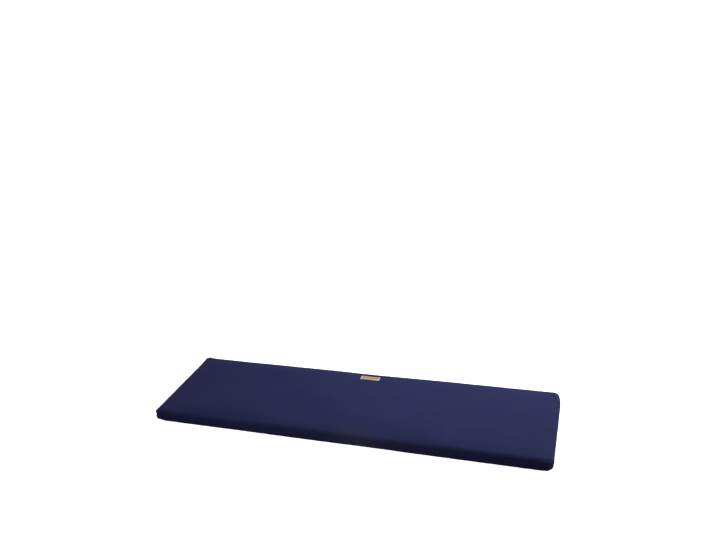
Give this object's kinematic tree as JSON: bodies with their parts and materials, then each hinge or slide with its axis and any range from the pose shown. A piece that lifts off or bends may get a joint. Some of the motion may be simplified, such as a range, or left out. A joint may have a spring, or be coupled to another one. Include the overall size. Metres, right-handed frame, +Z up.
{
  "type": "bench cushion",
  "caption": "Long thin bench cushion: boxed foam pad with rolled edges, seamed side band and a small blank leather patch near the back edge.",
  "frame": {"origin": "middle of the underside, on the surface that the cushion rests on", "axes": "+X along the length, +Y towards the long back edge where the patch is, +Z up through the thickness"},
  "size_m": [1.18, 0.338, 0.0432],
  "materials": {
    "cover": "matt woven cloth with a faint sheen",
    "patch": "smooth, lightly grained, darker cut edge"
  },
  "bodies": {
    "root": {"cushion": "cover", "patch": "patch"}
  },
  "joints": []
}
